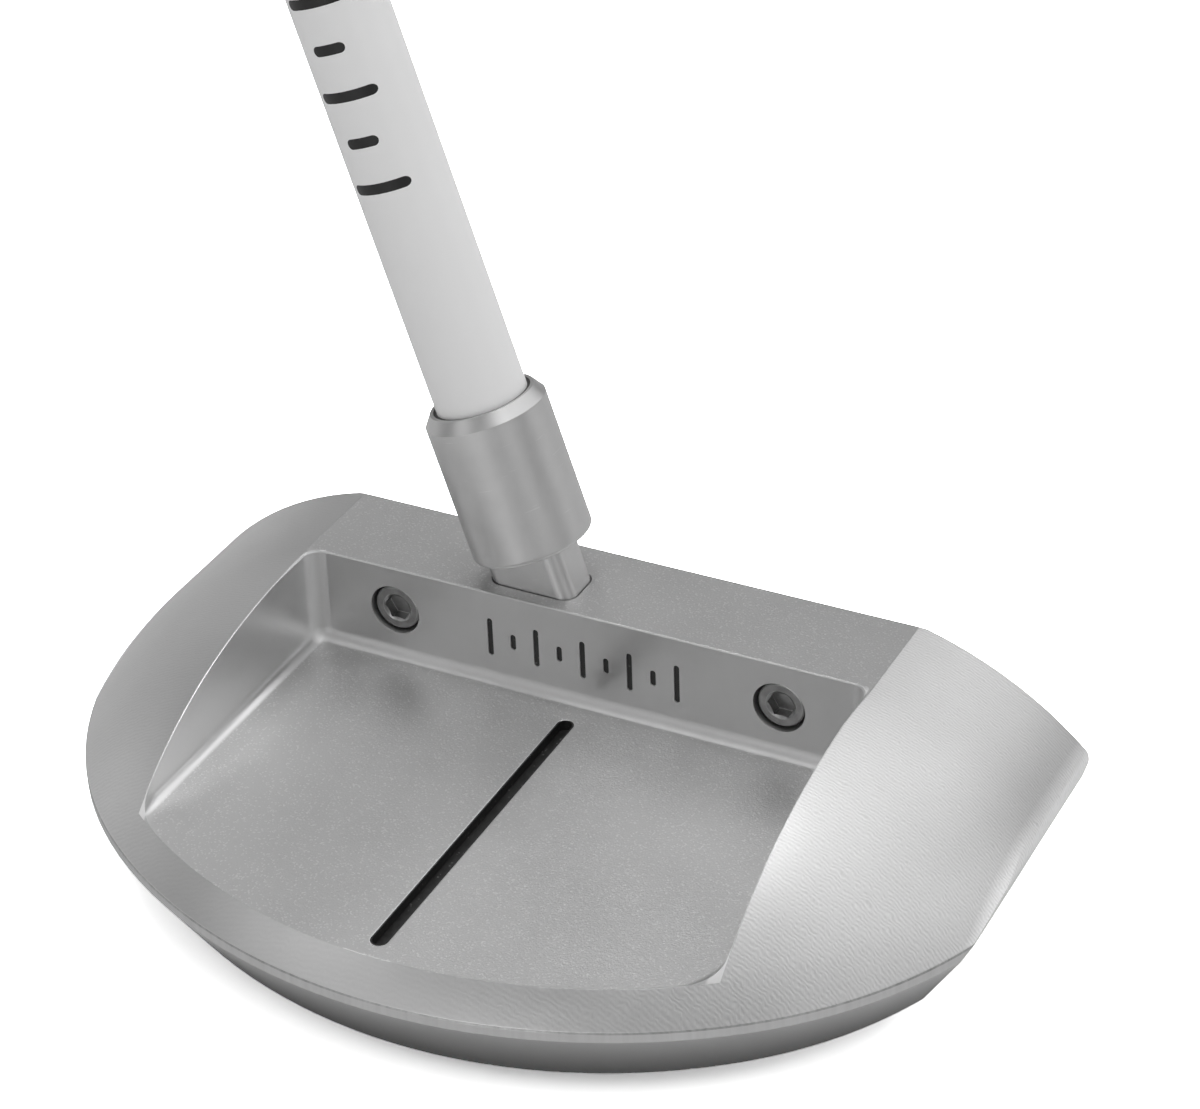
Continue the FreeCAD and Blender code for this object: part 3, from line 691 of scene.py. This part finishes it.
def plain_finish(name, greys, roughness, per_mm, relief):
    """Matt non-metal with grain: its grey, roughness and relief in millimetres follow one noise."""
    f = Finish(name)
    grain = f.noise(f.place, per_mm, detail=3.0)
    return f.done(f.vary(grain, *greys), f.vary(grain, *roughness), f.raised(grain, relief))


# Finish of each plain slot: greys, roughness, grains to the millimetre, relief in millimetres
PLAIN_FINISHES = {
    "epoxy_dark": ((0.02, 0.05), (0.35, 0.6), 1.5, 0.03),
    "tape_paper": ((0.62, 0.70), (0.7, 0.85), 2.0, 0.01),
    "underlisting_foam": ((0.10, 0.16), (0.8, 0.95), 2.5, 0.05),
    "grip_rubber": ((0.030, 0.045), (0.55, 0.75), 2.5, 0.02),
    "cap_plastic": ((0.035, 0.055), (0.35, 0.5), 1.8, 0.01),
}


def all_finishes():
    """Every finish by the name of its material slot in the record."""
    finishes = {
        "head_aluminium": head_finish(),
        "insert_steel": insert_finish(),
        "screw_steel": screw_finish(),
        "slot_black": enamel_finish(),
        "riser_steel": riser_finish(),
        "weight_steel": weight_finish(),
        "shaft_white": shaft_finish(),
    }
    for name, settings in PLAIN_FINISHES.items():
        finishes[name] = plain_finish(name, *settings)
    return finishes


def dress_nodes(finishes):
    """Gives every CAD node the finish that the record names for it."""
    for sub in frame["record"]["subparts"]:
        node = NODES[sub["node"]]
        for slot in node.material_slots:
            slot.material = finishes[sub["material_slot"]]


# ---------------------------------------------------------------- grip skin

GRIP_BOTTOM = 566.0
GRIP_TOP = 834.0
GRIP_SKIN = 1.3
GRIP_CORE_RADIUS = 7.7
GRIP_CORNER_RADIUS = 3.0
GRIP_CORNER_DROP = GRIP_CORNER_RADIUS / 8
GRIP_LIP_RADIUS = 0.8
FLAT_LEAST_COS = 0.2
# station up the grip from its lower end, radius, height of the thumb flat, shift to the palm side
GRIP_STATIONS = (
    (0.0, 9.9, 9.0, 0.0),
    (30.0, 10.6, 9.4, 0.1),
    (110.0, 11.8, 10.4, 0.5),
    (180.0, 13.0, 11.2, 1.2),
    (235.0, 13.9, 12.0, 2.0),
    (268.0, 14.9, 12.6, 2.8),
)
GRIP_RINGS = 400
GRIP_INNER_RINGS = 50
GRIP_LIP_STEPS = 5
GRIP_AROUND = 132
DIMPLE_ROW = 3.4
DIMPLES_ROUND = 22
DIMPLE_HALF_LENGTH = 0.9
DIMPLE_RADIUS = 0.75
DIMPLE_DEPTH = 0.32
DIMPLE_STEEPNESS = 1.25
PATTERN_MARGIN = 16.0
# Thumb panel and the groove round it; angles are about the shaft axis, in radians
PANEL_HALF_ANGLE = radians(52)
PANEL_CLEARANCE = 0.12
PANEL_GROOVE_HALF = 0.06
PANEL_GROOVE_DEPTH = 0.35
PANEL_OVERRUN = 2.0
RING_GROOVES = (7.0, 10.0)
RING_GROOVE_DEPTH = 0.4
RING_GROOVE_HALF = 0.7


def axis_point(x, y, z):
    """Row-frame point, in metres, of a place in the shaft's own frame in millimetres."""
    return (AXIS_POINT + AXIS_HEEL * x + AXIS_BACK * y + AXIS_UP * z) / MM_PER_M


def grip_size(station):
    """Radius, flat height and palm shift at a height up the grip."""
    for low, high in zip(GRIP_STATIONS, GRIP_STATIONS[1:]):
        if station <= high[0]:
            share = (station - low[0]) / (high[0] - low[0])
            return [a + (b - a) * share for a, b in zip(low[1:], high[1:])]
    return GRIP_STATIONS[-1][1:]


def grip_reach(radius, flat, angle):
    """Distance from the grip's centre to its outline: a circle with a flat on the toe side."""
    toe_side = -cos(angle)
    if toe_side < FLAT_LEAST_COS:
        return radius
    to_flat = flat / toe_side
    gap = abs(radius - to_flat)
    ease = max(0.0, 1 - gap / GRIP_CORNER_RADIUS)
    return min(radius, to_flat) - GRIP_CORNER_DROP * ease * ease


def smooth_step(value):
    value = min(1.0, max(0.0, value))
    return value * value * (3 - 2 * value)


def panel_distance(angle):
    """Angle outside the smooth thumb panel, negative within it."""
    from_toe = abs((angle % (2 * pi)) - pi)
    return from_toe - PANEL_HALF_ANGLE


def dimple_depth(station, angle):
    """Staggered dimples, drawn out round the grip, over the palm side of the grip."""
    outside = panel_distance(angle)
    low, high = PATTERN_MARGIN, GRIP_TOP - GRIP_BOTTOM - PATTERN_MARGIN
    if outside < PANEL_CLEARANCE or not low < station < high:
        return 0.0
    row = round(station / DIMPLE_ROW)
    up = station - row * DIMPLE_ROW
    turn = angle / (2 * pi) * DIMPLES_ROUND + (row % 2) / 2
    radius = grip_size(station)[0]
    across = (turn - round(turn)) * 2 * pi * radius / DIMPLES_ROUND
    end = max(0.0, abs(across) - DIMPLE_HALF_LENGTH)
    distance = sqrt(end * end + up * up)
    return DIMPLE_DEPTH * smooth_step(DIMPLE_STEEPNESS * (1 - distance / DIMPLE_RADIUS))


def groove_depth(station, angle):
    """Two ring grooves near each end and a fine groove round the thumb panel."""
    length = GRIP_TOP - GRIP_BOTTOM
    from_end = min(station, length - station)
    rings = max(1 - abs(from_end - ring) / RING_GROOVE_HALF for ring in RING_GROOVES)
    depth = RING_GROOVE_DEPTH * smooth_step(rings)
    if from_end > PATTERN_MARGIN - PANEL_OVERRUN:
        line = 1 - abs(panel_distance(angle)) / PANEL_GROOVE_HALF
        depth = max(depth, PANEL_GROOVE_DEPTH * smooth_step(line))
    return depth


def grip_ring(station, inset, patterned):
    """Outline of the grip at a station, moved inwards by `inset`."""
    radius, flat, shift = grip_size(station)
    ring = []
    for j in range(GRIP_AROUND):
        angle = 2 * pi * j / GRIP_AROUND
        reach = grip_reach(radius, flat, angle) - inset
        if patterned:
            reach -= max(dimple_depth(station, angle), groove_depth(station, angle))
        ring.append(axis_point(shift + reach * cos(angle), reach * sin(angle), GRIP_BOTTOM + station))
    return ring


def core_ring(station):
    """Circle of the hole that holds the underlisting."""
    ring = []
    for j in range(GRIP_AROUND):
        angle = 2 * pi * j / GRIP_AROUND
        ring.append(axis_point(GRIP_CORE_RADIUS * cos(angle), GRIP_CORE_RADIUS * sin(angle),
                               GRIP_BOTTOM + station))
    return ring


def grip_rings():
    """Rings of the closed skin: up the outside, down the inside, in to the shaft."""
    length = GRIP_TOP - GRIP_BOTTOM
    lip = GRIP_LIP_RADIUS
    rings = []
    for step in range(GRIP_LIP_STEPS + 1):
        turn = step / GRIP_LIP_STEPS * pi / 2
        rings.append(grip_ring(lip * (1 - cos(turn)), lip * (1 - sin(turn)), False))
    for k in range(1, GRIP_RINGS + 1):
        rings.append(grip_ring(lip + (length - lip) * k / GRIP_RINGS, 0, True))
    for k in range(GRIP_INNER_RINGS, -1, -1):
        station = GRIP_SKIN + (length - GRIP_SKIN) * k / GRIP_INNER_RINGS
        rings.append(grip_ring(station, GRIP_SKIN, False))
    rings.append(core_ring(GRIP_SKIN))
    rings.append(core_ring(0))
    return rings


def add_grip(finish):
    """Moulded grip skin with dimples, a smooth thumb panel and end rings."""
    rings = grip_rings()
    points = [point for ring in rings for point in ring]
    faces = []
    for k in range(len(rings)):
        after = (k + 1) % len(rings)
        for j in range(GRIP_AROUND):
            beside = (j + 1) % GRIP_AROUND
            faces.append((k * GRIP_AROUND + j, k * GRIP_AROUND + beside,
                          after * GRIP_AROUND + beside, after * GRIP_AROUND + j))
    mesh = bpy.data.meshes.new("grip_cover")
    mesh.from_pydata(points, [], faces)
    mesh.shade_smooth()
    mesh.materials.append(finish)
    grip = link(bpy.data.objects.new("grip_cover", mesh))
    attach(grip, "root")
    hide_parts("grip_skin")


# ---------------------------------------------------------------- making

bpy.context.scene.view_settings.view_transform = "Standard"
add_camera()
add_floor()
add_world()
for name, settings in SOFT_BOXES.items():
    add_soft_box(name, *settings)
FINISHES = all_finishes()
dress_nodes(FINISHES)
add_grip(FINISHES["grip_rubber"])
